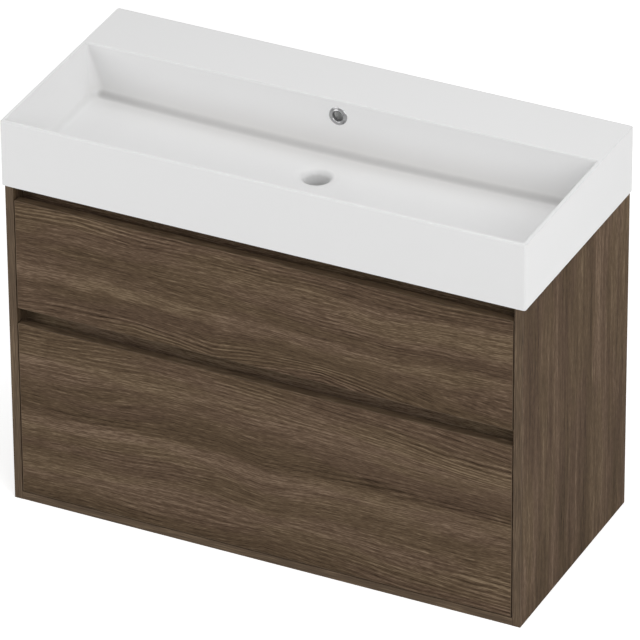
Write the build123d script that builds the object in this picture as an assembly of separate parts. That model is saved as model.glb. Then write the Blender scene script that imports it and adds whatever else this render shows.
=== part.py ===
from build123d import *
import math
import os

# Wall-hung vanity unit: a ceramic basin on a cabinet with two handleless drawers.
# Millimetres. X to the right, Y towards the wall, Z up.
# The origin lies under the middle of the whole unit, at the underside of the bottom panel.

# Cabinet boards and fronts
CABINET_WIDTH = 1000.0
CABINET_DEPTH = 452.0
BOARD = 16.0
EDGE_BAND = 1.0
EDGE_ROUNDING = 0.6
FRONT_GAP = 2.0
LOWER_FRONT_HEIGHT = 352.0
MIDDLE_GROOVE = 32.0
UPPER_FRONT_HEIGHT = 220.0
TOP_GROOVE = 28.0

# Rails between the side panels
RAIL_SETBACK = 38.0
RAIL_HEIGHT = 60.0
RAIL_BELOW_FRONT = 4.0
BACK_RAIL_HEIGHT = 80.0
WALL_SPACE = 18.0

# Basin
BASIN_SIDE_OVERHANG = 5.0
BASIN_FRONT_OVERHANG = 3.0
RIM_WIDTH = 7.5
DECK_DEPTH = 139.0
BOWL_DEPTH = 107.5
BOWL_FLOOR_RISE = 8.5
BOWL_WALL_LEAN = 17.0
BOWL_BACK_LEAN = 2.0
BOWL_TOP_CORNER = 3.0
BOWL_LOW_CORNER = 24.0
BOWL_FOOT_RADIUS = 15.0
BASIN_CORNER = 4.0
BASIN_EDGE = 2.2
CERAMIC = 12.0
CERAMIC_FLOOR = 13.0
FLOOR_RECESS = 9.5
RECESS_INSET = 10.0
DECK_WEB = 12.0
DECK_WEB_SPACING = 330.0

# Drain and overflow
DRAIN_RADIUS = 23.0
DRAIN_FROM_WALL = 227.5
DRAIN_DISH_RADIUS = 42.0
DRAIN_DISH_DEPTH = 1.8
DRAIN_LIP = 10.0
DRAIN_BOSS_WALL = 13.0
DRAIN_BOSS_DROP = 37.5
OVERFLOW_BELOW_DECK = 31.0
OVERFLOW_HOLE_RADIUS = 12.0
OVERFLOW_DUCT_WIDTH = 20.0
OVERFLOW_DUCT_DEPTH = 9.0
DUCT_WALL = 6.0
DUCT_FLOOR = 4.0
RING_FLANGE = 5.5
RING_PROUD = 2.4
RING_ROUNDING = 1.7
RING_MOUTH_ROUNDING = 0.95
RING_SLEEVE_LENGTH = 6.0
RING_SLEEVE_WALL = 1.7
RING_SLEEVE_PLAY = 0.3

# Drawer boxes
BOX_BOARD = 12.0
BOX_BOTTOM = 8.0
BOX_SIDE_GAP = 5.0
BOX_SIDE_DROP = 9.5
BOX_HEADROOM = 38.0
PIPE_SPACE = 52.0
TRAP_WIDTH = 200.0
TRAP_RADIUS = 75.0
LINER_WALL = 3.0
LINER_CORNER = 30.0
LINER_PLAY = 0.2

# Runners: sheet steel channels that hold a beam between them
STEEL = 1.5
RUNNER_PLAY = 0.5
RUNNER_LIFT = 4.0
RUNNER_FRONT_SETBACK = 4.5
RUNNER_WEB_HEIGHT = 36.0
RUNNER_SCREW_BELOW_TOP = 11.5
RUNNER_SCREW_SHARES = (0.09, 0.45, 0.91)
TRACK_WIDTH = 24.0
TRACK_LIP = 4.5
TRACK_FROM_BOX = 3.0
MEMBER_GAP = 1.5
BEAM_FLANGE = 2.5
BEAM_STEM = 6.0

# Release catches under the drawers
CATCH_LENGTH = 58.0
CATCH_WIDTH = 34.0
CATCH_PLATE = 3.5
CATCH_FROM_TRACK = 1.0
CATCH_PIN_RADIUS = 2.5
CATCH_PIN_PLAY = 0.1
CATCH_PIN_HEAD = 1.2
CATCH_PIN_HEAD_RADIUS = 4.5
LEVER_THICKNESS = 5.5
LEVER_WIDTH = 10.0
LEVER_CORNER = 3.0
LEVER_INSET = 4.0
LEVER_NOSE = 6.0
LEVER_NOSE_INSET = 2.0
LEVER_EYE_RADIUS = 7.0
LEVER_PLAY = 0.3

# Fittings; a share says how far along a board or runner a fitting stands
DOWEL_RADIUS = 4.0
DOWEL_LENGTH = 30.0
CAM_RADIUS = 7.5
CAM_DEPTH = 12.5
CAM_FROM_END = 34.0
CAM_BOLT_RADIUS = 3.0
SIDE_HOLE_DEPTH = 10.0
RAIL_FITTING_INSET = 17.0
NOTCHED_RAIL_INSET = 10.0
BOTTOM_DOWEL_SHARES = (0.1, 0.5, 0.84)
BOTTOM_CAM_SHARES = (0.2, 0.74)
HOLE_PLAY = 0.1
SCREW_RADIUS = 2.5
SCREW_HEAD_RADIUS = 4.5
SCREW_HEAD = 2.0
FRONT_SCREW_RADIUS = 2.0
FRONT_SCREW_BITE = 10.0
FRONT_SCREW_FROM_SIDE = 75.0
FRONT_SCREW_SHARES = (0.25, 0.75)

# Cabinet hangers
HANGER_WIDTH = 20.0
HANGER_DEPTH = 60.0
HANGER_HEIGHT = 58.0
HANGER_BELOW_TOP = 6.0
HANGER_SLOT_DEPTH = 42.0
HANGER_PIN_RADIUS = 5.0
HANGER_PIN_INSET = 13.0
HANGER_PIN_FROM_BACK = 36.0
HOOK_STEEL = 3.0
HOOK_HEIGHT = 20.0
HOOK_TOOTH = 6.3
HOOK_PLAY = 0.3
NOTCH_WIDTH = 38.0
NOTCH_PLAY = 4.0
CAP_WALL = 1.5
CAP_DEPTH = 10.0
PLATE_STEEL = 2.0
PLATE_WIDTH = 60.0
PLATE_HEIGHT = 58.0
PLATE_HOLES_FROM_SIDE = 34.0
PLATE_HOLE_RADIUS = 4.0
PLATE_HOLE_SPACING = 30.0
PLATE_LIP = 9.0
PLATE_LIP_STANDOFF = 8.0

# How far a cutting shape passes the face that it opens
THROUGH = 1.0

# Levels, from the floor up; the basin is as tall as its bowl, its floor and the recess need
Z_LOWER_FRONT = BOARD + FRONT_GAP
Z_LOWER_FRONT_TOP = Z_LOWER_FRONT + LOWER_FRONT_HEIGHT
Z_UPPER_FRONT = Z_LOWER_FRONT_TOP + MIDDLE_GROOVE
Z_UPPER_FRONT_TOP = Z_UPPER_FRONT + UPPER_FRONT_HEIGHT
CABINET_HEIGHT = Z_UPPER_FRONT_TOP + TOP_GROOVE
BASIN_HEIGHT = BOWL_DEPTH + CERAMIC_FLOOR + FLOOR_RECESS
Z_RIM = CABINET_HEIGHT + BASIN_HEIGHT
Z_BOWL_FLOOR = Z_RIM - BOWL_DEPTH
Z_UNDER_BOWL = Z_BOWL_FLOOR - CERAMIC_FLOOR
Z_DRAIN_BOSS = Z_UNDER_BOWL - DRAIN_BOSS_DROP
Z_OVERFLOW = Z_RIM - OVERFLOW_BELOW_DECK
Z_MIDDLE_RAIL_TOP = Z_UPPER_FRONT - RAIL_BELOW_FRONT
Z_MIDDLE_RAIL = Z_MIDDLE_RAIL_TOP - RAIL_HEIGHT
Z_TOP_RAIL = CABINET_HEIGHT - RAIL_HEIGHT

# Places from front to back
Y_WALL = (CABINET_DEPTH + BASIN_FRONT_OVERHANG) / 2
Y_FACE = Y_WALL - CABINET_DEPTH
Y_BEHIND_FRONT = Y_FACE + BOARD
Y_FRONT_RAIL = Y_FACE + RAIL_SETBACK
Y_BACK_RAIL = Y_WALL - WALL_SPACE - BOARD
Y_BOX_END = Y_BACK_RAIL - PIPE_SPACE
Y_RUNNER = Y_BEHIND_FRONT + RUNNER_FRONT_SETBACK
RUNNER_SPAN = (Y_RUNNER, Y_BOX_END)
Y_BASIN = Y_FACE - BASIN_FRONT_OVERHANG
Y_BOWL_FRONT = Y_BASIN + RIM_WIDTH
Y_BOWL_BACK = Y_WALL - DECK_DEPTH
Y_DRAIN = Y_WALL - DRAIN_FROM_WALL
DUCT_SPAN = (Y_BOWL_BACK + DUCT_WALL, Y_BOWL_BACK + DUCT_WALL + OVERFLOW_DUCT_DEPTH)

# Places from the middle to the side
X_INNER = CABINET_WIDTH / 2 - BOARD
X_BOX = X_INNER - BOX_SIDE_GAP
X_BOX_INNER = X_BOX - BOX_BOARD
X_TRACK = X_BOX_INNER - TRACK_FROM_BOX
X_TRACK_INNER = X_TRACK - TRACK_WIDTH
X_BASIN = CABINET_WIDTH / 2 + BASIN_SIDE_OVERHANG
X_BOWL = X_BASIN - RIM_WIDTH

# Radii of the overflow ring, which fits the overflow hole
RING_OUTER_RADIUS = OVERFLOW_HOLE_RADIUS + RING_FLANGE
RING_SLEEVE_RADIUS = OVERFLOW_HOLE_RADIUS - RING_SLEEVE_PLAY
RING_BORE_RADIUS = RING_SLEEVE_RADIUS - RING_SLEEVE_WALL

# Heights inside a runner, from the underside of its cabinet member
H_FLANGE = STEEL + RUNNER_PLAY
H_STEM = H_FLANGE + BEAM_FLANGE
H_LIP = H_STEM + RUNNER_PLAY
H_DRAWER_LIP = H_LIP + STEEL + MEMBER_GAP
H_UPPER_FLANGE = H_DRAWER_LIP + STEEL + RUNNER_PLAY
H_COVER = H_UPPER_FLANGE + BEAM_FLANGE + RUNNER_PLAY
RUNNER_HEIGHT = H_COVER + STEEL

# Each drawer: its name, the levels of its front, and the level its box stays under
DRAWERS = {
    "upper": (Z_UPPER_FRONT, Z_UPPER_FRONT_TOP, Z_TOP_RAIL - BOX_HEADROOM),
    "lower": (Z_LOWER_FRONT, Z_LOWER_FRONT_TOP, Z_MIDDLE_RAIL - BOX_HEADROOM),
}


def bar(x, y, z):
    """A box from its low and high edge along each axis."""
    middle = Pos((x[0] + x[1]) / 2, (y[0] + y[1]) / 2, (z[0] + z[1]) / 2)
    return middle * Box(x[1] - x[0], y[1] - y[0], z[1] - z[0])


def rod(start, direction, radius, length):
    """A round rod from its start point along a direction."""
    place = Plane(origin=start, z_dir=direction)
    return place * Cylinder(radius, length, align=(Align.CENTER, Align.CENTER, Align.MIN))


def mirrored(shape):
    """The same shape on the other side of the unit."""
    return mirror(shape, about=Plane.YZ)


def both_sides(shapes):
    """Shapes of the right side, followed by their mirror images."""
    return list(shapes) + [mirrored(shape) for shape in shapes]


def cut(shape, tools):
    """A shape less each of the tools."""
    for tool in tools:
        shape = shape - tool
    return shape


def save(node, shapes):
    """Writes one node, a single solid or a group of separate ones."""
    solids = []
    for shape in shapes if isinstance(shapes, list) else [shapes]:
        solids += list(shape.solids())
    export_step(solids[0] if len(solids) == 1 else Compound(children=solids), f"parts/{node}.step")


def joint_points():
    """Where boards meet the right side panel.

    Each entry is the y and z of the board's dowels and of its cams, and the way the cams face.
    """
    rail_middle = Y_FRONT_RAIL + BOARD / 2
    back_middle = Y_BACK_RAIL + BOARD / 2
    top_back = CABINET_HEIGHT - BACK_RAIL_HEIGHT
    rails = {
        "top_front_rail": (rail_middle, Z_TOP_RAIL, RAIL_HEIGHT, RAIL_FITTING_INSET),
        "middle_front_rail": (rail_middle, Z_MIDDLE_RAIL, RAIL_HEIGHT, RAIL_FITTING_INSET),
        "top_back_rail": (back_middle, top_back, BACK_RAIL_HEIGHT, NOTCHED_RAIL_INSET),
        "bottom_back_rail": (back_middle, BOARD, BACK_RAIL_HEIGHT, RAIL_FITTING_INSET),
    }
    points = {}
    for board, (y, low, height, inset) in rails.items():
        points[board] = ([(y, low + inset)], [(y, low + height - inset)], (0, 1, 0))
    depth = CABINET_DEPTH - EDGE_BAND
    y_start = Y_FACE + EDGE_BAND
    dowels = [(y_start + depth * share, BOARD / 2) for share in BOTTOM_DOWEL_SHARES]
    cams = [(y_start + depth * share, BOARD / 2) for share in BOTTOM_CAM_SHARES]
    points["bottom_panel"] = (dowels, cams, (0, 0, 1))
    return points


def dowel(y, z, play=0.0):
    """A wooden dowel between the right side panel and the end of a board."""
    start = X_INNER + SIDE_HOLE_DEPTH + play
    return rod((start, y, z), (-1, 0, 0), DOWEL_RADIUS + play, DOWEL_LENGTH + 2 * play)


def cam_bolt(y, z, play=0.0):
    """The bolt that is screwed into the right side panel and held by the cam."""
    start = X_INNER + SIDE_HOLE_DEPTH + play
    length = SIDE_HOLE_DEPTH + CAM_FROM_END - CAM_RADIUS - 2 * HOLE_PLAY + play
    return rod((start, y, z), (-1, 0, 0), CAM_BOLT_RADIUS + play, length)


def cam(y, z, axis, play=0.0):
    """The round cam near the end of a board, let into its back or upper face."""
    centre = Vector(X_INNER - CAM_FROM_END, y, z)
    face = centre + Vector(*axis) * (BOARD / 2)
    return rod(tuple(face), tuple(-value for value in axis), CAM_RADIUS + play, CAM_DEPTH + play)


def board_holes(board):
    """The holes for dowels, bolts and cams in both ends of one board."""
    dowels, cams, axis = joint_points()[board]
    holes = [dowel(y, z, HOLE_PLAY) for y, z in dowels]
    holes += [cam_bolt(y, z, HOLE_PLAY) for y, z in cams]
    holes += [cam(y, z, axis, HOLE_PLAY) for y, z in cams]
    return both_sides(holes)


def side_holes():
    """The holes in the inner face of the right side panel."""
    holes = []
    for dowels, cams, _axis in joint_points().values():
        holes += [dowel(y, z, HOLE_PLAY) for y, z in dowels]
        holes += [cam_bolt(y, z, HOLE_PLAY) for y, z in cams]
    holes += [screw(place, HOLE_PLAY) for place in runner_screw_places()]
    holes += hanger_pins(HOLE_PLAY)
    return holes


def side_panel():
    """The right side panel, without its front edge band."""
    panel = bar((X_INNER, CABINET_WIDTH / 2), (Y_FACE + EDGE_BAND, Y_WALL), (0, CABINET_HEIGHT))
    return cut(panel, side_holes())


def side_edge_band():
    """The strip glued on the front edge of the right side panel."""
    strip = bar((X_INNER, CABINET_WIDTH / 2), (Y_FACE, Y_FACE + EDGE_BAND), (0, CABINET_HEIGHT))
    outer = strip.edges().filter_by(Axis.Z).group_by(Axis.Y)[0]
    return fillet(outer, EDGE_ROUNDING)


def bottom_panel():
    """The bottom panel between the side panels."""
    panel = bar((-X_INNER, X_INNER), (Y_FACE + EDGE_BAND, Y_WALL), (0, BOARD))
    return cut(panel, board_holes("bottom_panel"))


def bottom_edge_band():
    """The strip glued on the front edge of the bottom panel."""
    strip = bar((-X_INNER, X_INNER), (Y_FACE, Y_FACE + EDGE_BAND), (0, BOARD))
    outer = strip.edges().filter_by(Axis.X).group_by(Axis.Y)[0]
    return fillet(outer, EDGE_ROUNDING)


def rail(name, y, low, height):
    """An upright rail between the side panels."""
    board = bar((-X_INNER, X_INNER), (y, y + BOARD), (low, low + height))
    return cut(board, board_holes(name))


def top_back_rail():
    """The back rail under the basin, notched at both ends for the hooks."""
    low = CABINET_HEIGHT - BACK_RAIL_HEIGHT
    hook_low, hook_high = hook_levels()
    notch = bar(
        (X_INNER - NOTCH_WIDTH, X_INNER),
        (Y_BACK_RAIL, Y_BACK_RAIL + BOARD),
        (hook_low - NOTCH_PLAY, hook_high + NOTCH_PLAY),
    )
    return cut(rail("top_back_rail", Y_BACK_RAIL, low, BACK_RAIL_HEIGHT), both_sides([notch]))


def front_core(z, holes):
    """The board of one drawer front, inside its edge bands."""
    half = X_INNER - FRONT_GAP - EDGE_BAND
    core = bar((-half, half), (Y_FACE, Y_BEHIND_FRONT), (z[0] + EDGE_BAND, z[1] - EDGE_BAND))
    return cut(core, holes)


def front_edge_bands(z):
    """Four strips round one drawer front: the long ones lie between the short ones."""
    half = X_INNER - FRONT_GAP
    depth = (Y_FACE, Y_BEHIND_FRONT)
    strips = [
        bar((half - EDGE_BAND, half), depth, z),
        bar((-half, EDGE_BAND - half), depth, z),
        bar((EDGE_BAND - half, half - EDGE_BAND), depth, (z[0], z[0] + EDGE_BAND)),
        bar((EDGE_BAND - half, half - EDGE_BAND), depth, (z[1] - EDGE_BAND, z[1])),
    ]
    return strips


def bowl_space():
    """The hollow of the bowl: leaning walls over a floor that falls to the middle."""
    low_front = Y_BOWL_FRONT + BOWL_WALL_LEAN
    low_back = Y_BOWL_BACK - BOWL_BACK_LEAN
    low_half = X_BOWL - BOWL_WALL_LEAN
    mouth = RectangleRounded(2 * X_BOWL, Y_BOWL_BACK - Y_BOWL_FRONT, BOWL_TOP_CORNER)
    foot = RectangleRounded(2 * low_half, low_back - low_front, BOWL_LOW_CORNER)
    mouth = Pos(0, (Y_BOWL_FRONT + Y_BOWL_BACK) / 2, Z_RIM) * mouth
    foot = Pos(0, (low_front + low_back) / 2, Z_BOWL_FLOOR) * foot
    space = loft([foot, mouth], ruled=True)
    space = space & floor_former()
    foot_top = Z_BOWL_FLOOR + BOWL_FLOOR_RISE + THROUGH
    foot_edges = space.edges().filter_by(lambda edge: edge.center().Z < foot_top)
    return fillet(foot_edges, BOWL_FOOT_RADIUS)


def floor_former():
    """A block over the bowl's floor, whose underside is a shallow arc along the basin."""
    half = X_BASIN
    ends = Z_BOWL_FLOOR + BOWL_FLOOR_RISE
    over = Z_RIM + THROUGH
    arc = ThreePointArc((-half, ends), (0, Z_BOWL_FLOOR), (half, ends))
    walls = Polyline((half, ends), (half, over), (-half, over), (-half, ends))
    profile = Plane.XZ * make_face(Curve() + [arc, walls])
    return extrude(profile, amount=CABINET_DEPTH, both=True)


def basin_underside():
    """The hollows under the basin: a shallow one under the floor, deep ones under the deck."""
    half = X_BOWL - BOWL_WALL_LEAN - RECESS_INSET
    front = Y_BOWL_FRONT + BOWL_WALL_LEAN + RECESS_INSET
    back = Y_BOWL_BACK - BOWL_BACK_LEAN - RECESS_INSET
    low = CABINET_HEIGHT - THROUGH
    hollows = [bar((-half, half), (front, back), (low, Z_UNDER_BOWL))]
    web = DECK_WEB_SPACING / 2
    end = X_BASIN - CERAMIC
    middle = (DECK_WEB / 2 - web, web - DECK_WEB / 2)
    right = (web + DECK_WEB / 2, end)
    left = (-right[1], -right[0])
    deep = (Y_BOWL_BACK + CERAMIC, Y_WALL - CERAMIC)
    hollows += [bar(across, deep, (low, Z_RIM - CERAMIC)) for across in (left, middle, right)]
    return hollows


def drain_boss():
    """The thick ring round the drain, and the housing of the overflow channel."""
    top = Z_BOWL_FLOOR - DRAIN_DISH_DEPTH / 2
    radius = DRAIN_RADIUS + DRAIN_BOSS_WALL
    boss = rod((0, Y_DRAIN, Z_DRAIN_BOSS), (0, 0, 1), radius, top - Z_DRAIN_BOSS)
    half = OVERFLOW_DUCT_WIDTH / 2 + CERAMIC
    back = DUCT_SPAN[1] + DUCT_WALL
    under = bar((-half, half), (Y_DRAIN, back), (Z_DRAIN_BOSS, top))
    behind = bar((-half, half), (Y_BOWL_BACK, back), (Z_DRAIN_BOSS, Z_RIM - CERAMIC / 2))
    return boss + under + behind


def overflow_duct():
    """The channel from the overflow hole down and forward into the drain."""
    half = OVERFLOW_DUCT_WIDTH / 2
    low = Z_DRAIN_BOSS + DUCT_FLOOR
    down = bar((-half, half), DUCT_SPAN, (low, Z_OVERFLOW + OVERFLOW_HOLE_RADIUS))
    forward = bar((-half, half), (Y_DRAIN, DUCT_SPAN[1]), (low, low + OVERFLOW_DUCT_DEPTH))
    return down + forward


def overflow_hole():
    """The round hole from the bowl into the overflow channel."""
    start = (0, Y_BOWL_BACK - BOWL_BACK_LEAN, Z_OVERFLOW)
    depth = sum(DUCT_SPAN) / 2 - start[1]
    return rod(start, (0, 1, 0), OVERFLOW_HOLE_RADIUS, depth)


def drain_dish():
    """The shallow dish round the drain hole."""
    height = DRAIN_DISH_DEPTH + THROUGH
    slope = (DRAIN_DISH_RADIUS - DRAIN_RADIUS) / DRAIN_DISH_DEPTH
    wide = DRAIN_DISH_RADIUS + slope * THROUGH
    cone = Cone(DRAIN_RADIUS, wide, height, align=(Align.CENTER, Align.CENTER, Align.MIN))
    return Pos(0, Y_DRAIN, Z_BOWL_FLOOR - DRAIN_DISH_DEPTH) * cone


def drain_bore():
    """The round drain hole through the floor and its boss."""
    low = Z_DRAIN_BOSS - THROUGH
    return rod((0, Y_DRAIN, low), (0, 0, 1), DRAIN_RADIUS, Z_BOWL_FLOOR - low)


def drain_opening():
    """The drain hole with its rounded lip, and the shallow dish that leads to it."""
    opening = drain_dish() + drain_bore()
    mouth = opening.edges().filter_by(GeomType.CIRCLE).group_by(Axis.Z)[1]
    return fillet(mouth, DRAIN_LIP)


def washbasin():
    """The ceramic basin: rim, bowl, rear deck, hollow underside, drain and overflow."""
    outside = bar((-X_BASIN, X_BASIN), (Y_BASIN, Y_WALL), (CABINET_HEIGHT, Z_RIM))
    outside = fillet(outside.edges().filter_by(Axis.Z), BASIN_CORNER)
    basin = outside - bowl_space()
    rims = basin.edges().group_by(Axis.Z)[-1]
    basin = fillet(rims, BASIN_EDGE)
    basin = cut(basin, basin_underside())
    basin = basin + (drain_boss() - bowl_space())
    return cut(basin, [drain_opening(), overflow_duct(), overflow_hole()])


def overflow_ring():
    """The chrome ring: a rounded collar on the wall and a sleeve in the overflow hole."""
    lean = math.degrees(math.atan2(BOWL_BACK_LEAN, BOWL_DEPTH))
    collar = rod((0, 0, 0), (0, 0, 1), RING_OUTER_RADIUS, RING_PROUD)
    front_edges = collar.edges().group_by(Axis.Z)[-1]
    collar = fillet(front_edges, RING_ROUNDING)
    sleeve = rod((0, 0, 0), (0, 0, -1), RING_SLEEVE_RADIUS, RING_SLEEVE_LENGTH)
    bore_start = (0, 0, -RING_SLEEVE_LENGTH - THROUGH)
    bore_length = RING_SLEEVE_LENGTH + RING_PROUD + 2 * THROUGH
    ring = collar + sleeve - rod(bore_start, (0, 0, 1), RING_BORE_RADIUS, bore_length)
    mouth = ring.edges().filter_by(GeomType.CIRCLE).group_by(Axis.Z)[-1]
    ring = fillet(mouth.sort_by(SortBy.RADIUS)[0], RING_MOUTH_ROUNDING)
    seat_y = Y_BOWL_BACK - BOWL_BACK_LEAN * OVERFLOW_BELOW_DECK / BOWL_DEPTH
    return Pos(0, seat_y, Z_OVERFLOW) * Rot(90 - lean, 0, 0) * ring


def channel_section(lip_up):
    """A C channel that wraps a flange of the beam, open upwards or downwards.

    Heights run from the underside of the cabinet member; x is the distance from the track's
    outer edge.
    """
    if lip_up:
        base = (0, STEEL)
        wall = (0, H_LIP + STEEL)
        lip = (H_LIP, H_LIP + STEEL)
    else:
        base = (H_COVER, RUNNER_HEIGHT)
        wall = (H_DRAWER_LIP, RUNNER_HEIGHT)
        lip = (H_DRAWER_LIP, H_DRAWER_LIP + STEEL)
    far = TRACK_WIDTH
    return [
        ((0, far), base),
        ((0, STEEL), wall),
        ((far - STEEL, far), wall),
        ((0, STEEL + TRACK_LIP), lip),
        ((far - STEEL - TRACK_LIP, far), lip),
    ]


def fused(boxes):
    """Several touching boxes as one solid."""
    whole = boxes[0]
    for box in boxes[1:]:
        whole = whole + box
    return whole


def track_boxes(section, z):
    """The boxes of a channel or beam section, under the right side of a drawer."""
    boxes = []
    for across, heights in section:
        x = (X_TRACK - across[1], X_TRACK - across[0])
        boxes.append(bar(x, RUNNER_SPAN, (z + heights[0], z + heights[1])))
    return boxes


def cabinet_member(z):
    """The fixed runner member: a track on a base, and a web screwed to the side panel."""
    base = bar((X_TRACK_INNER, X_INNER), RUNNER_SPAN, (z, z + STEEL))
    web = bar((X_INNER - STEEL, X_INNER), RUNNER_SPAN, (z, z + RUNNER_WEB_HEIGHT))
    member = fused([base, web] + track_boxes(channel_section(True), z))
    holes = [screw(place, HOLE_PLAY) for place in runner_screw_places()]
    return cut(member, holes)


def beam_member(z):
    """The intermediate member: a beam with a flange in each of the two channels."""
    side = STEEL + RUNNER_PLAY
    stem = (TRACK_WIDTH - BEAM_STEM) / 2
    section = [
        ((side, TRACK_WIDTH - side), (H_FLANGE, H_STEM)),
        ((stem, TRACK_WIDTH - stem), (H_FLANGE, H_UPPER_FLANGE + BEAM_FLANGE)),
        ((side, TRACK_WIDTH - side), (H_UPPER_FLANGE, H_UPPER_FLANGE + BEAM_FLANGE)),
    ]
    return fused(track_boxes(section, z))


def drawer_member(z):
    """The moving runner member under the drawer's bottom."""
    return fused(track_boxes(channel_section(False), z))


def runner_screw_places():
    """Where the runner screws enter the right side panel, as y and z."""
    places = []
    length = Y_BOX_END - Y_RUNNER
    for front_z, _top, _limit in DRAWERS.values():
        z = front_z + RUNNER_LIFT + RUNNER_WEB_HEIGHT - RUNNER_SCREW_BELOW_TOP
        places += [(Y_RUNNER + length * share, z) for share in RUNNER_SCREW_SHARES]
    return places


def screw(place, play=0.0):
    """The shank of one runner screw, from the web's face into the side panel."""
    start = (X_INNER - STEEL, place[0], place[1])
    return rod(start, (1, 0, 0), SCREW_RADIUS + play, STEEL + SIDE_HOLE_DEPTH + play)


def runner_screw(place):
    """One runner screw, its head lying on the web."""
    head_start = (X_INNER - STEEL, place[0], place[1])
    return screw(place) + rod(head_start, (-1, 0, 0), SCREW_HEAD_RADIUS, SCREW_HEAD)


def box_levels(name):
    """The levels of one drawer box: runner, bottom board's two faces, top."""
    front_z, _front_top, top = DRAWERS[name]
    runner = front_z + RUNNER_LIFT
    under = runner + RUNNER_HEIGHT
    return runner, under, under + BOX_BOTTOM, top


def box_side(name):
    """The right side of a drawer box; it hangs below the bottom and hides the runner."""
    _runner, under, _floor, top = box_levels(name)
    return bar((X_BOX_INNER, X_BOX), (Y_BEHIND_FRONT, Y_BOX_END), (under - BOX_SIDE_DROP, top))


def trap_notch(play):
    """The space that the liner takes in the upper drawer, open at the back."""
    half = TRAP_WIDTH / 2 + play
    front = Y_DRAIN - TRAP_RADIUS - play
    notch = bar((-half, half), (front, Y_BOX_END), (0, Z_RIM))
    corners = notch.edges().filter_by(Axis.Z).group_by(Axis.Y)[0]
    return fillet(corners, LINER_CORNER + play)


def box_bottom(name):
    """The bottom board, cut out for the trap in the upper drawer."""
    _runner, under, floor, _top = box_levels(name)
    bottom = bar((-X_BOX_INNER, X_BOX_INNER), (Y_BEHIND_FRONT, Y_BOX_END), (under, floor))
    if name == "upper":
        bottom = bottom - trap_notch(LINER_PLAY)
    return bottom


def box_front(name):
    """The inner front, to which the decor front is screwed."""
    _runner, _under, floor, top = box_levels(name)
    depth = (Y_BEHIND_FRONT, Y_BEHIND_FRONT + BOX_BOARD)
    board = bar((-X_BOX_INNER, X_BOX_INNER), depth, (floor, top))
    return cut(board, [front_screw(place, HOLE_PLAY) for place in front_screw_places(name)])


def box_backs(name):
    """The back boards from left to right: one in the lower drawer, two in the upper."""
    _runner, _under, floor, top = box_levels(name)
    depth = (Y_BOX_END - BOX_BOARD, Y_BOX_END)
    if name == "lower":
        return [bar((-X_BOX_INNER, X_BOX_INNER), depth, (floor, top))]
    half = TRAP_WIDTH / 2 + LINER_PLAY
    right = bar((half, X_BOX_INNER), depth, (floor, top))
    return [mirrored(right), right]


def siphon_liner():
    """The U-shaped wall round the trap cut-out of the upper drawer."""
    _runner, under, _floor, top = box_levels("upper")
    outside = trap_notch(0.0) & bar((-X_BOX, X_BOX), (Y_FACE, Y_BOX_END), (under, top))
    half = TRAP_WIDTH / 2 - LINER_WALL
    front = Y_DRAIN - TRAP_RADIUS + LINER_WALL
    inside = bar((-half, half), (front, Y_BOX_END), (under, top))
    corners = inside.edges().filter_by(Axis.Z).group_by(Axis.Y)[0]
    return outside - fillet(corners, LINER_CORNER - LINER_WALL)


def front_screw_places(name):
    """Where the screws go through the inner front, as x and z."""
    _runner, _under, floor, top = box_levels(name)
    x = X_BOX_INNER - FRONT_SCREW_FROM_SIDE
    levels = [floor + (top - floor) * share for share in FRONT_SCREW_SHARES]
    return [(side * x, z) for side in (-1, 1) for z in levels]


def front_screw(place, play=0.0):
    """The shank of a screw through the inner front into the decor front."""
    start = (place[0], Y_BEHIND_FRONT + BOX_BOARD, place[1])
    length = BOX_BOARD + FRONT_SCREW_BITE + play
    return rod(start, (0, -1, 0), FRONT_SCREW_RADIUS + play, length)


def front_screws(name):
    """The screws of one drawer front with their heads."""
    screws = []
    for place in front_screw_places(name):
        head_start = (place[0], Y_BEHIND_FRONT + BOX_BOARD, place[1])
        head = rod(head_start, (0, 1, 0), SCREW_HEAD_RADIUS, SCREW_HEAD)
        screws.append(front_screw(place) + head)
    return screws


def catch_pivot():
    """The x and y of the right release catch's pin."""
    x = X_TRACK_INNER - CATCH_FROM_TRACK - CATCH_WIDTH / 2
    return x, Y_RUNNER + CATCH_LENGTH / 2


def lever_levels(name):
    """The levels of a lever, between the catch's plate and the pin's head."""
    _runner, under, _floor, _top = box_levels(name)
    top = under - CATCH_PLATE - LEVER_PLAY
    return top - LEVER_THICKNESS, top


def catch_housing(name):
    """A plate under the drawer's bottom with the pin that carries the lever."""
    _runner, under, _floor, _top = box_levels(name)
    x, y = catch_pivot()
    low = lever_levels(name)[0] - LEVER_PLAY
    pin_top = under - CATCH_PLATE / 2
    across = (x - CATCH_WIDTH / 2, x + CATCH_WIDTH / 2)
    plate = bar(across, (Y_RUNNER, Y_RUNNER + CATCH_LENGTH), (under - CATCH_PLATE, under))
    pin = rod((x, y, pin_top), (0, 0, -1), CATCH_PIN_RADIUS, pin_top - low)
    head = rod((x, y, low), (0, 0, -1), CATCH_PIN_HEAD_RADIUS, CATCH_PIN_HEAD)
    return plate + pin + head


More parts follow.
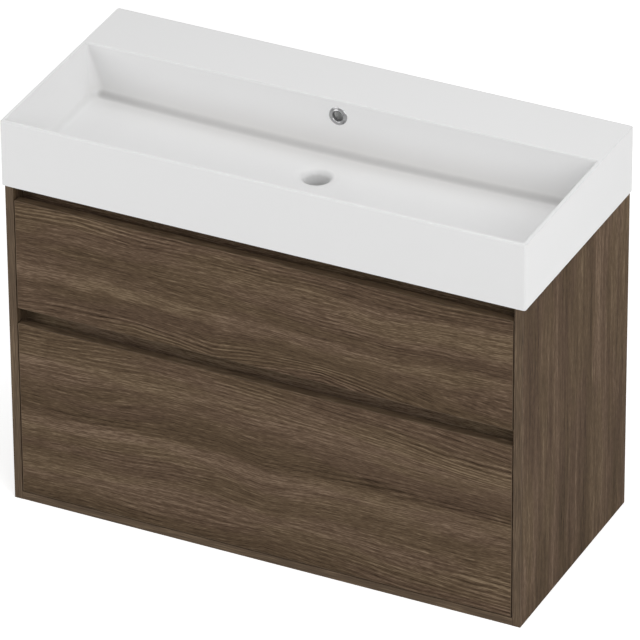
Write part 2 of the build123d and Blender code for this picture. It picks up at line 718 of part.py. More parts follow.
def catch_lever(name):
    """The lever: an eye on the pin, a tab at the front and a nose at the runner."""
    x, y = catch_pivot()
    low, high = lever_levels(name)
    half = LEVER_WIDTH / 2
    reach = CATCH_LENGTH / 2 - LEVER_INSET
    arm = bar((x - half, x + half), (y - reach, y + reach), (low, high))
    arm = fillet(arm.edges().filter_by(Axis.Z), LEVER_CORNER)
    nose_x = (x, X_TRACK_INNER - RUNNER_PLAY)
    nose_back = y + reach - LEVER_NOSE_INSET
    nose = bar(nose_x, (nose_back - LEVER_NOSE, nose_back), (low, high))
    eye = rod((x, y, low), (0, 0, 1), LEVER_EYE_RADIUS, LEVER_THICKNESS)
    hole_length = LEVER_THICKNESS + 2 * THROUGH
    hole = rod((x, y, low - THROUGH), (0, 0, 1), CATCH_PIN_RADIUS + CATCH_PIN_PLAY, hole_length)
    return arm + nose + eye - hole


def hanger_levels():
    """The underside and the top of the hanger housings."""
    top = CABINET_HEIGHT - HANGER_BELOW_TOP
    return top - HANGER_HEIGHT, top


def hook_levels():
    """The underside and the top of the hooks' arms."""
    low, high = hanger_levels()
    middle = (low + high) / 2
    return middle - HOOK_HEIGHT / 2, middle + HOOK_HEIGHT / 2


def hanger_pins(play=0.0):
    """Two pins that hold the right hanger housing in the side panel."""
    low, high = hanger_levels()
    y = Y_BACK_RAIL - HANGER_PIN_FROM_BACK
    length = SIDE_HOLE_DEPTH + play
    pins = []
    for z in (low + HANGER_PIN_INSET, high - HANGER_PIN_INSET):
        pins.append(rod((X_INNER, y, z), (1, 0, 0), HANGER_PIN_RADIUS + play, length))
    return pins


def hook_across():
    """The x range of the right hook's steel."""
    middle = X_INNER - HANGER_WIDTH / 2
    return middle - HOOK_STEEL / 2, middle + HOOK_STEEL / 2


def hanger_housing():
    """The right hanger housing with its pins and the slot that holds the hook."""
    front = Y_BACK_RAIL - HANGER_DEPTH
    body = bar((X_INNER - HANGER_WIDTH, X_INNER), (front, Y_BACK_RAIL), hanger_levels())
    left, right = hook_across()
    low, high = hook_levels()
    slot = bar(
        (left - HOOK_PLAY, right + HOOK_PLAY),
        (Y_BACK_RAIL - HANGER_SLOT_DEPTH, Y_BACK_RAIL + THROUGH),
        (low - HOOK_PLAY, high + HOOK_PLAY),
    )
    return fused([body] + hanger_pins()) - slot


def lip_place():
    """The y range of the wall plate's lip, over which the hook hangs."""
    front = Y_WALL - PLATE_STEEL - PLATE_LIP_STANDOFF
    return front, front + PLATE_STEEL


def hanger_hook():
    """The right hook: an arm out of the housing and a tooth behind the lip."""
    low, high = hook_levels()
    front = Y_BACK_RAIL - HANGER_SLOT_DEPTH + HOOK_PLAY
    tooth_front = lip_place()[1] + HOOK_PLAY
    tooth_back = tooth_front + HOOK_STEEL
    arm = bar(hook_across(), (front, tooth_back), (low, high))
    tooth = bar(hook_across(), (tooth_front, tooth_back), (low - HOOK_TOOTH, low))
    return arm + tooth


def hanger_cap():
    """The plastic cap over the front end of the right hanger housing."""
    low, high = hanger_levels()
    front = Y_BACK_RAIL - HANGER_DEPTH - CAP_WALL - HOOK_PLAY
    inner_x = X_INNER - HANGER_WIDTH - HOOK_PLAY
    outside = bar(
        (inner_x - CAP_WALL, X_INNER),
        (front, front + CAP_DEPTH),
        (low - CAP_WALL - HOOK_PLAY, high + CAP_WALL + HOOK_PLAY),
    )
    inside = bar(
        (inner_x, X_INNER),
        (front + CAP_WALL, front + CAP_DEPTH),
        (low - HOOK_PLAY, high + HOOK_PLAY),
    )
    return outside - inside


def wall_plate():
    """The right wall plate: a screwed plate with a lip that stands off the wall."""
    x = X_INNER - PLATE_HOLES_FROM_SIDE
    across = (x - PLATE_WIDTH / 2, x + PLATE_WIDTH / 2)
    lip_top = hook_levels()[0] - HOOK_PLAY
    lip_front, lip_back = lip_place()
    fold = lip_top - PLATE_LIP
    plate = bar(across, (Y_WALL - PLATE_STEEL, Y_WALL), (fold - PLATE_HEIGHT, fold))
    shelf = bar(across, (lip_front, Y_WALL), (fold - PLATE_STEEL, fold))
    lip = bar(across, (lip_front, lip_back), (fold, lip_top))
    hole_front = Y_WALL - PLATE_STEEL - THROUGH
    hole_length = PLATE_STEEL + 2 * THROUGH
    holes = []
    for sign in (-1, 1):
        z = fold - PLATE_HEIGHT / 2 + sign * PLATE_HOLE_SPACING / 2
        holes.append(rod((x, hole_front, z), (0, 1, 0), PLATE_HOLE_RADIUS, hole_length))
    return cut(plate + shelf + lip, holes)


def save_carcass():
    """Writes the boards, their edge bands and the rails."""
    save("right_side_panel", side_panel())
    save("left_side_panel", mirrored(side_panel()))
    save("right_side_edge_band", side_edge_band())
    save("left_side_edge_band", mirrored(side_edge_band()))
    save("bottom_panel", bottom_panel())
    save("bottom_edge_band", bottom_edge_band())
    save("top_front_rail", rail("top_front_rail", Y_FRONT_RAIL, Z_TOP_RAIL, RAIL_HEIGHT))
    middle = rail("middle_front_rail", Y_FRONT_RAIL, Z_MIDDLE_RAIL, RAIL_HEIGHT)
    save("middle_front_rail", middle)
    save("top_back_rail", top_back_rail())
    save("bottom_back_rail", rail("bottom_back_rail", Y_BACK_RAIL, BOARD, BACK_RAIL_HEIGHT))


def save_fittings():
    """Writes the dowels, cams and runner screws."""
    dowels = []
    cams = []
    for dowel_places, cam_places, axis in joint_points().values():
        dowels += [dowel(y, z) for y, z in dowel_places]
        for y, z in cam_places:
            cams += [cam(y, z, axis), cam_bolt(y, z)]
    save("wooden_dowels", both_sides(dowels))
    save("cam_fittings", both_sides(cams))
    save("runner_screws", both_sides([runner_screw(place) for place in runner_screw_places()]))


def save_hangers():
    """Writes the hangers, their hooks and caps, and the wall plates."""
    for node, shape in (
        ("hanger_housing", hanger_housing()),
        ("hanger_hook", hanger_hook()),
        ("wall_plate", wall_plate()),
    ):
        save(f"right_{node}", shape)
        save(f"left_{node}", mirrored(shape))
    save("hanger_cover_caps", both_sides([hanger_cap()]))


def save_runners(name):
    """Writes the runner members of one drawer, right and left."""
    z = box_levels(name)[0]
    for node, shape in (
        ("cabinet_member", cabinet_member(z)),
        ("intermediate_member", beam_member(z)),
        ("drawer_member", drawer_member(z)),
    ):
        save(f"{name}_right_{node}", shape)
        save(f"{name}_left_{node}", mirrored(shape))


def save_drawer(name):
    """Writes the front and the box of one drawer, with its catches."""
    front_z, front_top, _limit = DRAWERS[name]
    levels = (front_z, front_top)
    holes = [front_screw(place, HOLE_PLAY) for place in front_screw_places(name)]
    save(f"{name}_front", front_core(levels, holes))
    save(f"{name}_front_edge_bands", front_edge_bands(levels))
    save(f"{name}_inner_front", box_front(name))
    save(f"{name}_front_screws", front_screws(name))
    save(f"{name}_drawer_bottom", box_bottom(name))
    save(f"{name}_right_drawer_side", box_side(name))
    save(f"{name}_left_drawer_side", mirrored(box_side(name)))
    backs = box_backs(name)
    if len(backs) == 1:
        save(f"{name}_drawer_back", backs[0])
    else:
        save(f"{name}_left_drawer_back", backs[0])
        save(f"{name}_right_drawer_back", backs[1])
    save(f"{name}_catch_housings", both_sides([catch_housing(name)]))
    save(f"{name}_right_catch_lever", catch_lever(name))
    save(f"{name}_left_catch_lever", mirrored(catch_lever(name)))


os.makedirs("parts", exist_ok=True)
save_carcass()
save("washbasin", washbasin())
save("overflow_ring", overflow_ring())
save_fittings()
save_hangers()
for drawer in DRAWERS:
    save_runners(drawer)
    save_drawer(drawer)
save("siphon_recess_liner", siphon_liner())
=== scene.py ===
"""Finishes and studio for a wall-hung vanity unit with a ceramic basin and two handleless drawers.

The boards, basin, runners and fittings come in as the fixed frame. This file gives each of them
its surface, models the turned and pressed small parts again as smooth pieces, and sets the stage.
Lengths are metres, in the frame's own axes: +X to the right, +Y to the wall, +Z up.
"""

import math

import bpy
from bpy.props import FloatProperty, FloatVectorProperty, PointerProperty
from mathutils import Matrix, Vector


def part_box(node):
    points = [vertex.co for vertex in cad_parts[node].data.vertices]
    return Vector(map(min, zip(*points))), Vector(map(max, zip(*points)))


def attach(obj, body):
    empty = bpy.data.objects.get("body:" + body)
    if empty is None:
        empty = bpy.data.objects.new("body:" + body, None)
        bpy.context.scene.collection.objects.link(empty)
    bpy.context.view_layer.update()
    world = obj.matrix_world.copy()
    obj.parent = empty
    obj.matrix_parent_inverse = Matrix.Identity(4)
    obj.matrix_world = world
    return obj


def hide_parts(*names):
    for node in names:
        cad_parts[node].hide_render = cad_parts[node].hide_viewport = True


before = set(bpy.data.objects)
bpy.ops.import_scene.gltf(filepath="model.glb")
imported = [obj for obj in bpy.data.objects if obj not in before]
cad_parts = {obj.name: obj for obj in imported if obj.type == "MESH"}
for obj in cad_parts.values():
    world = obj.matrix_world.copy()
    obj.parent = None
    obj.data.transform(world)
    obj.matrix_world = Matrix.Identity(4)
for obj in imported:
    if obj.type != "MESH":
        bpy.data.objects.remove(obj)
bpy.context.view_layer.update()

bl_info = {
    "name": "Vanity Unit Finisher",
    "version": (1, 0, 0),
    "blender": (4, 5, 0),
    "location": "3D View > Sidebar > Vanity",
    "description": "Wood decor, glaze and metal finishes for a wall-hung vanity unit",
    "category": "Object",
}

MM = 0.001
DRAWERS = ("upper", "lower")
SIDES = ("left", "right")
SMOOTH_ANGLE = math.radians(38)


def screen(red, green, blue):
    """Linear colour of a shade given as a screen shows it, 0 to 255."""
    return tuple(((value / 255 + 0.055) / 1.055) ** 2.4 for value in (red, green, blue))


def dimmed(colour, share):
    """A colour of three channels, cut or raised to that share."""
    return tuple(share * channel for channel in colour)


def shade_property(name, description, default):
    """A colour that a user may change."""
    return FloatVectorProperty(
        name=name, description=description, default=default, size=3, min=0.0, max=1.0,
        subtype="COLOR")


def length_property(name, description, default):
    """A length that a user may change."""
    return FloatProperty(
        name=name, description=description, default=default, min=0.0, unit="LENGTH",
        subtype="DISTANCE", precision=5)


class VanityWood(bpy.types.PropertyGroup):
    """Colours and grain of the printed wood decor."""

    deep: shade_property("Deep brown", "Darkest shade, in pores and late wood", screen(40, 30, 22))
    brown: shade_property("Brown", "Middle shade of the decor", screen(93, 76.5, 61.5))
    pale: shade_property("Pale brown", "Lightest shade, in the thin streaks", screen(150, 130, 109))
    olive: shade_property("Olive cast", "Tint of the greener zones", screen(251, 252, 246))
    plum: shade_property("Plum cast", "Tint of the redder zones", screen(252, 250, 251))
    chip: shade_property("Chipboard", "Bare chipboard at unbanded edges", screen(176, 148, 112))
    ring_pitch: length_property("Ring pitch", "Distance between growth lines", 8.4 * MM)
    fibre_length: length_property("Fibre length", "Length of one fine fibre", 48 * MM)
    fibre_width: length_property("Fibre width", "Width of one fine fibre", 1.5 * MM)
    chip_size: length_property("Chip size", "Size of the chips at unbanded edges", 2.2 * MM)
    relief: length_property("Relief", "Depth of the embossed pores", 0.12 * MM)
    contrast: FloatProperty(
        name="Contrast", description="How strongly the broad bands differ", default=0.92, min=0.0)
    tone: FloatProperty(
        name="Tone", description="Lightness of the decor's middle shade", default=0.485, min=0.0)


class VanityCeramic(bpy.types.PropertyGroup):
    """Colours and surface of the washbasin."""

    glaze: shade_property("Glaze", "White of the glazed faces", screen(227, 227, 227))
    # Painted shade for the corner of the bowl's floor and back wall
    painted_shade: shade_property("Crease shade", "Painted shade in the bowl's back corner", screen(216, 215, 214))
    bisque: shade_property("Bisque", "Unglazed clay, below and behind", screen(226, 219, 205))
    waviness: length_property("Waviness", "Distance between soft swells of the glaze", 45 * MM)
    swell: length_property("Swell", "Height of the glaze's swells", 0.03 * MM)
    # How far that painted shade and its darker painted line reach
    painted_shade_reach: length_property("Shade reach", "How far the painted shade reaches", 75 * MM)
    crease_reach: length_property("Crease reach", "How far its dark line reaches", 15.75 * MM)
    # Painted shade over the glaze's roundings
    rounding_shade: FloatProperty(
        name="Rounding shade", description="How much darker the glaze gets over a rounding",
        default=0.11, min=0.0, max=1.0)
    bowl_back: length_property("Bowl's back", "Bowl's back wall, from the middle", 88 * MM)
    bowl_floor: length_property("Bowl's floor", "Bowl's floor below the rim", 107.5 * MM)
    floor_rise: length_property("Floor's rise", "Rise of the bowl's floor to its ends", 8.5 * MM)


class VanityMetal(bpy.types.PropertyGroup):
    """Colours of the metal parts."""

    chrome: shade_property("Chrome", "Plating of the overflow ring", screen(174, 174, 175))
    steel: shade_property("Steel", "Zinc plated sheet of the runners", screen(190, 193, 197))
    casting: shade_property("Zinc casting", "Cast cams and plated screws", screen(176, 177, 178))


class VanityInterior(bpy.types.PropertyGroup):
    """Colours of the drawer boxes, plastic parts and dowels."""

    board: shade_property("Drawer board", "Melamine of the drawer boxes", screen(163, 160, 153))
    thread: shade_property("Thread", "Lighter threads of the linen texture", screen(180, 177, 170))
    plastic: shade_property("Grey plastic", "Housings, caps and levers", screen(124, 124, 127))
    beech: shade_property("Beech", "Bare beech of the dowels", screen(197, 166, 128))
    beech_fleck: shade_property("Beech fleck", "Darker flecks of the beech", screen(170, 134, 96))
    thread_pitch: length_property("Thread pitch", "Distance between linen threads", 1.6 * MM)


class VanityFittings(bpy.types.PropertyGroup):
    """Sizes of the turned fittings."""

    head_radius: length_property("Screw head radius", "Radius of a screw's head", 4.5 * MM)
    head_height: length_property("Screw head height", "Height of a screw's head", 2.0 * MM)
    sheet: length_property("Runner sheet", "Thickness of the runner's steel", 1.5 * MM)
    screw_below_web: length_property(
        "Screw below web", "Runner screws below the top of the web", 11.5 * MM)
    screw_from_end: length_property(
        "Screw from end", "Front screws from the end of the inner front", 75 * MM)
    cam_from_end: length_property("Cam from end", "Cams from the end of a board", 34 * MM)
    bolt_bite: length_property("Bolt bite", "Depth of a bolt in the side panel", 10 * MM)
    ring_radius: length_property("Ring radius", "Outer radius of the overflow ring", 17.5 * MM)
    ring_bore: length_property("Ring bore", "Inner radius of the overflow ring", 10.0 * MM)
    ring_proud: length_property("Ring proud", "How far the ring stands off the wall", 2.4 * MM)
    ring_lean: length_property("Ring lean", "Bowl's back wall leans by this, top to floor", 2 * MM)


class VanityStage(bpy.types.PropertyGroup):
    """Camera, light and floor."""

    azimuth: FloatProperty(
        name="Azimuth", description="Camera's turn round the unit, from straight in front",
        default=math.radians(26.015), subtype="ANGLE", unit="ROTATION")
    elevation: FloatProperty(
        name="Elevation", description="Camera's angle above the horizon",
        default=math.radians(31.14), subtype="ANGLE", unit="ROTATION")
    roll: FloatProperty(
        name="Roll", description="Camera's tilt about its own axis",
        default=math.radians(-0.405), subtype="ANGLE", unit="ROTATION")
    place: FloatVectorProperty(
        name="Camera place", description="Where the camera stands",
        default=(4.93223, -10.09632, 7.16742), size=3, unit="LENGTH", subtype="XYZ")
    lens: FloatProperty(
        name="Lens", description="Focal length on a 36 mm sensor, in millimetres", default=416.39)
    ambient: FloatProperty(
        name="Ambient", description="Strength of the even light from all round", default=0.35)
    floor_paint: FloatProperty(
        name="Floor paint", description="How much light the floor gives back", default=0.82)
    floor_glow: FloatProperty(
        name="Floor glow", description="Light that the floor adds where it is seen", default=0.55)
    floor_gap: length_property("Floor gap", "Floor's distance below the unit", 0.5 * MM)
    floor_size: length_property("Floor size", "Length of the floor's sides", 60.0)


class Wire:
    """An output socket that takes part in plain arithmetic; each step adds a Math node."""

    def __init__(self, graph, socket):
        self.graph = graph
        self.socket = socket

    def at(self, key):
        """Another output of the same node."""
        return Wire(self.graph, find_socket(self.socket.node.outputs, key))

    def _step(self, operation, first, second):
        return self.graph.add("ShaderNodeMath", {"operation": operation}, {0: first, 1: second})

    def __add__(self, other):
        return self._step("ADD", self, other)

    def __radd__(self, other):
        return self._step("ADD", other, self)

    def __sub__(self, other):
        return self._step("SUBTRACT", self, other)

    def __rsub__(self, other):
        return self._step("SUBTRACT", other, self)

    def __mul__(self, other):
        return self._step("MULTIPLY", self, other)

    def __rmul__(self, other):
        return self._step("MULTIPLY", other, self)

    def __truediv__(self, other):
        return self._step("DIVIDE", self, other)

    def __rtruediv__(self, other):
        return self._step("DIVIDE", other, self)


def find_socket(sockets, key):
    """The socket with that index, identifier or name."""
    if isinstance(key, int):
        return sockets[key]
    for socket in sockets:
        if socket.identifier == key:
            return socket
    return sockets[key]


def set_stops(ramp, stops):
    """Gives a ramp its stops, each a place from 0 to 1 and a colour or a grey."""
    while len(ramp.elements) < len(stops):
        ramp.elements.new(1.0)
    while len(ramp.elements) > len(stops):
        ramp.elements.remove(ramp.elements[-1])
    for element, (place, colour) in zip(ramp.elements, stops):
        element.position = place
        element.color = colour_of(colour)


def colour_of(value):
    """Four channels from a grey number or from a colour of three."""
    if isinstance(value, (int, float)):
        value = (value,) * 3
    return (*value, 1.0)


class Graph:
    """The nodes of one material or world, added from the inputs towards the output."""

    def __init__(self, owner):
        owner.use_nodes = True
        self.owner = owner
        self.tree = owner.node_tree
        self.tree.nodes.clear()

    def add(self, kind, settings=None, sockets=None):
        """A node of that type, its settings first and then its sockets' values or links."""
        node = self.tree.nodes.new(kind)
        for name, value in (settings or {}).items():
            if name == "stops":
                set_stops(node.color_ramp, value)
            else:
                setattr(node, name, value)
        for key, value in (sockets or {}).items():
            target = find_socket(node.inputs, key)
            if isinstance(value, Wire):
                self.tree.links.new(value.socket, target)
            else:
                target.default_value = value
        return Wire(self, node.outputs[0]) if node.outputs else None

    def place(self):
        """The point on the object, as one wire for each axis."""
        point = self.add("ShaderNodeTexCoord").at("Object")
        split = self.add("ShaderNodeSeparateXYZ", None, {0: point})
        return {axis: split.at(axis) for axis in "XYZ"}

    def facing(self):
        """The object's own normal, as one wire for each axis."""
        normal = self.add("ShaderNodeTexCoord").at("Normal")
        split = self.add("ShaderNodeSeparateXYZ", None, {0: normal})
        return {axis: split.at(axis) for axis in "XYZ"}

    def noise(self, point, detail=2.0, roughness=0.5):
        """Soft noise, 0 to 1, at a point given as three coordinates in cells."""
        vector = self.add("ShaderNodeCombineXYZ", None, dict(enumerate(point)))
        return self.add("ShaderNodeTexNoise", {"noise_dimensions": "3D"}, {
            "Vector": vector, "Scale": 1.0, "Detail": detail, "Roughness": roughness})

    def specks(self, place, size, detail=2.0, roughness=0.5):
        """Soft noise, 0 to 1, in cells of that size each way."""
        return self.noise([place[axis] / size for axis in "XYZ"], detail, roughness)

    def step(self, value, low, high):
        """A smooth step of a value, 0 at low and 1 at high; low may be the larger."""
        if low > high:
            return 1 - self.step(value, high, low)
        return self.add("ShaderNodeMapRange", {"interpolation_type": "SMOOTHSTEP"}, {
            "Value": value, "From Min": low, "From Max": high})

    def size(self, value):
        """A value without its sign."""
        return self.add("ShaderNodeMath", {"operation": "ABSOLUTE"}, {0: value})

    def sine(self, value):
        """Sine of a value in turns, 0 to 1."""
        turn = value * math.tau
        return 0.5 + 0.5 * self.add("ShaderNodeMath", {"operation": "SINE"}, {0: turn})

    def ramp(self, value, stops):
        """A colour ramp read at a value."""
        return self.add("ShaderNodeValToRGB", {"stops": stops}, {0: value})

    def mix(self, factor, first, second, how="MIX"):
        """Two colours mixed by a factor."""
        sockets = {"Factor_Float": factor, "A_Color": first, "B_Color": second}
        for key in ("A_Color", "B_Color"):
            if not isinstance(sockets[key], Wire):
                sockets[key] = colour_of(sockets[key])
        settings = {"data_type": "RGBA", "blend_type": how}
        return self.add("ShaderNodeMix", settings, sockets).at("Result_Color")

    def bump(self, height, distance, strength):
        """A normal that follows a height of 0 to 1 over that distance."""
        return self.add("ShaderNodeBump", None, {
            "Strength": strength, "Distance": distance, "Height": height})

    def seen(self):
        """Above 0 for rays of the camera, of mirrors and of glass; 0 for those that carry light."""
        path = self.add("ShaderNodeLightPath")
        return path.at("Is Camera Ray") + path.at("Is Glossy Ray") + path.at("Is Transmission Ray")

    def surface(self, **sockets):
        """The finished shader, its sockets named with underscores for spaces."""
        values = {key.replace("_", " "): value for key, value in sockets.items()}
        if not isinstance(values["Base Color"], Wire):
            values["Base Color"] = colour_of(values["Base Color"])
        shader = self.add("ShaderNodeBsdfPrincipled", None, values)
        self.add("ShaderNodeOutputMaterial", None, {"Surface": shader})
        return self.owner


def new_graph(name):
    """The node tree of a new material."""
    return Graph(bpy.data.materials.new(name))


# A drift of this many millimetres, half to each side, fills a colour channel of its ramp
DRIFT_SPAN = 200
# Steps through the noise from one board to the next, so that no two boards look alike
LAYERS_PER_BOARD = 40.0


class Board:
    """How the decor lies on a board: grain axis, cross axis, first layer of noise, broad bands.

    Each band is a share of the board's width, a tone, and how strongly the growth lines show.
    The first bands lie at the start of the grain, the last ones at its end. A drift is a share
    of the length, and how far the bands near the low edge, the middle and the high edge then
    lie towards the high edge, in millimetres. Bold, streaky and fine are the strengths of the
    bands, of the streaks in them and of the fibres.
    """

    def __init__(self, node, along, across, layer, first, last=None, drift=((0.0, 0, 0, 0),),
                 bold=1.0, streaky=1.0, fine=1.0):
        low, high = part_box(node)
        self.along, self.across, self.layer = along, across, layer
        self.bold, self.streaky, self.fine = bold, streaky, fine
        self.low = low["XYZ".index(across)]
        self.width = high["XYZ".index(across)] - self.low
        self.start = low["XYZ".index(along)]
        self.length = high["XYZ".index(along)] - self.start
        self.first = [(share, (tone, lines, 0.0)) for share, tone, lines in first]
        self.last = [(share, (tone, lines, 0.0)) for share, tone, lines in last or first]
        self.drift = [(share, tuple(0.5 + shift / DRIFT_SPAN for shift in shifts))
                      for share, *shifts in drift]


def wood_shades(wood):
    """The ramp of the decor, from its darkest to its lightest shade."""
    return [(0.0, wood.deep), (0.5, wood.brown), (1.0, wood.pale)]


def wood_decor(name, board, wood, bare_axis=None):
    """Printed and embossed wood decor, with bare chipboard on the high end of one axis."""
    graph = new_graph(name)
    place = graph.place()
    along = place[board.along]
    straight = across = place[board.across]

    def grain(length, width, layer):
        """Noise about zero, drawn out along the grain in cells of that length and width."""
        return graph.noise((along / length, across / width, board.layer + layer), 1.0) - 0.5

    # The cross place drifts and sways along the board, and the grain after this follows it
    reach = (along - board.start) / board.length
    level = (straight - board.low) / board.width
    drift = graph.add("ShaderNodeSeparateColor", None, {0: graph.ramp(reach, board.drift)})
    below, middle, above = drift.at("Red"), drift.at("Green"), drift.at("Blue")
    shift = (below + (middle - below) * graph.step(level, 0.06, 0.32)
             + (above - middle) * graph.step(level, 0.55, 0.90))
    sway = (grain(420 * MM, 110 * MM, 0.0) * (20 * MM)
            + grain(100 * MM, 30 * MM, 1.7) * (5 * MM))
    across = straight - (shift - 0.5) * (DRIFT_SPAN * MM) + sway

    # Broad bands, mixed from the first ones to the last ones
    share = (across - board.low) / board.width
    bands = graph.mix(graph.step(reach, 0.15, 0.85),
                      graph.ramp(share, board.first), graph.ramp(share, board.last))
    split = graph.add("ShaderNodeSeparateColor", None, {0: bands})
    tone, strength = split.at("Red"), split.at("Green")

    # Growth lines in patches, then fibres long and short, streaks and pores
    phase = (across + grain(420 * MM, 70 * MM, 3.1) * (40 * MM)
             + grain(90 * MM, 12 * MM, 4.3) * (5 * MM))
    rings = graph.sine(phase / wood.ring_pitch) - 0.5
    patches = graph.step(grain(200 * MM, 30 * MM, 5.3), -0.15, 0.15)
    lines = rings * strength * (patches + strength * strength * 0.7)
    fibre = grain(wood.fibre_length, wood.fibre_width, 7.9)
    short = grain(11 * MM, 1.3 * MM, 9.7)
    streak = grain(200 * MM, 9 * MM, 13.7)
    pore = graph.step(grain(18 * MM, 1.4 * MM, 11.3), 0.08, 0.22)
    shade = (wood.tone + board.bold * (tone - 0.5) * wood.contrast
             + board.streaky * streak * 0.22
             + board.fine * (fibre * 0.78 + short * 0.56 - pore * 0.10 - lines * 0.26))
    colour = graph.ramp(shade, wood_shades(wood))
    zones = graph.step(grain(300 * MM, 50 * MM, 23.1), -0.1, 0.1)
    cast = graph.mix(zones, wood.olive, wood.plum)
    colour = graph.mix(1.0, colour, cast, "MULTIPLY")
    relief = 0.5 + fibre * 0.5 - pore * 0.5 - lines * 0.3
    if bare_axis:
        bare = graph.step(graph.facing()[bare_axis], 0.85, 0.95)
        chips = graph.specks(place, wood.chip_size, 2.0, 0.6)
        chip = graph.ramp(chips, [
            (0.30, dimmed(wood.chip, 0.45)), (0.46, wood.chip), (0.70, dimmed(wood.chip, 1.3))])
        colour = graph.mix(bare, colour, chip)
        relief = relief * (1 - bare) + chips * bare
    return graph.surface(
        Base_Color=colour, Roughness=0.62 + fibre * 0.2, Specular_IOR_Level=0.02,
        Normal=graph.bump(relief, wood.relief, 0.5))


def edge_band(name, along, across, layer, wood, end_reach=None):
    """Edge band in the decor: straight fine streaks, turned where a front's ends begin."""
    graph = new_graph(name)
    place = graph.place()
    first, second = place[along], place[across]
    if end_reach:
        blend = 0.1 * MM
        at_end = graph.step(graph.size(first), end_reach - blend, end_reach + blend)
        first, second = first + (second - first) * at_end, second + (first - second) * at_end
    depth = place[({"X", "Y", "Z"} - {along, across}).pop()]

    def grain(length, width, layer_shift, detail=2.0):
        """Noise drawn out along the band."""
        return graph.noise((first / length, (second + depth) / width, layer + layer_shift), detail)

    fibre = grain(30 * MM, 1.8 * MM, 0.0, 3.0)
    streak = grain(90 * MM, 5.0 * MM, 3.3)
    wave = graph.sine((second + grain(60 * MM, 20 * MM, 7.7, 1.0) * (12 * MM)) / (4.2 * MM))
    shade = 0.51 + (fibre - 0.5) * 0.6 + (streak - 0.5) * 0.6 - wave * 0.12
    colour = graph.mix(1.0, graph.ramp(shade, wood_shades(wood)), wood.olive, "MULTIPLY")
    return graph.surface(
        Base_Color=colour, Roughness=0.50 + (fibre - 0.5) * 0.15, Specular_IOR_Level=0.15,
        Normal=graph.bump(fibre, wood.relief, 0.3))


def glazed_ceramic(name, ceramic, high):
    """White glaze on a basin with that high corner; bare clay below it and at the wall."""
    graph = new_graph(name)
    place, facing = graph.place(), graph.facing()
    swell = graph.specks(place, ceramic.waviness, 1.0)
    cloud = graph.specks(place, 250 * MM)

    # Painted shade in the corner of the bowl's floor and back wall, with a darker painted line in
    # it
    share = graph.size(place["X"]) / high.x
    height = place["Z"] - (high.z - ceramic.bowl_floor) - share * share * ceramic.floor_rise
    from_back = ceramic.bowl_back - place["Y"]
    inside = (graph.step(from_back, -4 * MM, -2 * MM) * graph.step(height, -8 * MM, -4 * MM)
              * graph.step(share, 0.996, 0.992))
    corner = height + from_back
    painted_shade_mask = graph.step(corner, ceramic.painted_shade_reach, 6 * MM) * inside * (1 - share * share * 0.6)
    crease = graph.step(corner, ceramic.crease_reach, 7 * MM) * inside

    # Bare clay where the basin meets the wall and on whatever faces down
    at_wall = graph.step(place["Y"], high.y - 1.2 * MM, high.y - 0.6 * MM)
    under = graph.step(facing["Z"], -0.25, -0.45)
    clay = graph.add("ShaderNodeMath", {"operation": "MAXIMUM"}, {0: at_wall, 1: under})
    grit = graph.specks(place, 0.9 * MM, 3.0, 0.6)
    glaze = graph.mix(cloud, dimmed(ceramic.glaze, 0.985), ceramic.glaze)
    # Painted shade: darker towards the back corner, darker still along the crease
    glaze = graph.mix(painted_shade_mask, glaze, ceramic.painted_shade)
    glaze = graph.mix(crease, glaze, dimmed(ceramic.painted_shade, 0.71))

    # Painted shade over roundings, most where the face leans by 45 degrees; it dims their highlight
    # and darkens the bowl's coves
    slope = facing["Z"] * facing["Z"]
    rounded = 4 * slope * (1 - slope)
    glaze = graph.mix(rounded * ceramic.rounding_shade, glaze, 0.0)
    bare = graph.mix(grit, dimmed(ceramic.bisque, 0.9), ceramic.bisque)
    relief = swell * (1 - clay) + grit * clay * 3
    return graph.surface(
        Base_Color=graph.mix(clay, glaze, bare), Roughness=0.28 + clay * 0.5,
        Specular_IOR_Level=0.22, Normal=graph.bump(relief, ceramic.swell, 0.6))


def linen_board(name, interior):
    """Pale melamine with a fine linen weave pressed into it."""
    graph = new_graph(name)
    place = graph.place()
    pitch = interior.thread_pitch
    weave = sum((graph.sine(place[axis] / pitch) for axis in "XYZ"), 0.0) / 3
    slub = graph.specks(place, 7 * MM, 3.0, 0.6)
    cloud = graph.specks(place, 120 * MM)
    amount = weave * 0.5 + (slub - 0.5) * 0.6 + cloud * 0.3
    colour = graph.mix(amount, interior.board, interior.thread)
    return graph.surface(
        Base_Color=colour, Roughness=0.5 + (slub - 0.5) * 0.15, Specular_IOR_Level=0.25,
        Normal=graph.bump(weave, 0.06 * MM, 0.5))


def rolled_steel(name, metal):
    """Zinc plated sheet steel, with rolling streaks along the runner and faint zinc flowers."""
    graph = new_graph(name)
    place = graph.place()
    width, length = 1.1 * MM, 90 * MM
    roll = graph.noise((place["X"] / width, place["Y"] / length, place["Z"] / width), 3.0)
    flower = graph.specks(place, 11 * MM, 1.0)
    shade = roll * 0.6 + flower * 0.4
    colour = graph.mix(shade, dimmed(metal.steel, 0.82), metal.steel)
    return graph.surface(
        Base_Color=colour, Metallic=1.0, Roughness=0.26 + shade * 0.2,
        Normal=graph.bump(roll, 0.02 * MM, 0.4))


def cast_zinc(name, metal):
    """Bright cast or plated metal of the small fittings, a little uneven."""
    graph = new_graph(name)
    place = graph.place()
    skin = graph.specks(place, 1.5 * MM, 3.0, 0.6)
    colour = graph.mix(skin, dimmed(metal.casting, 0.8), metal.casting)
    return graph.surface(
        Base_Color=colour, Metallic=1.0, Roughness=0.34 + (skin - 0.5) * 0.25,
        Normal=graph.bump(skin, 0.03 * MM, 0.5))


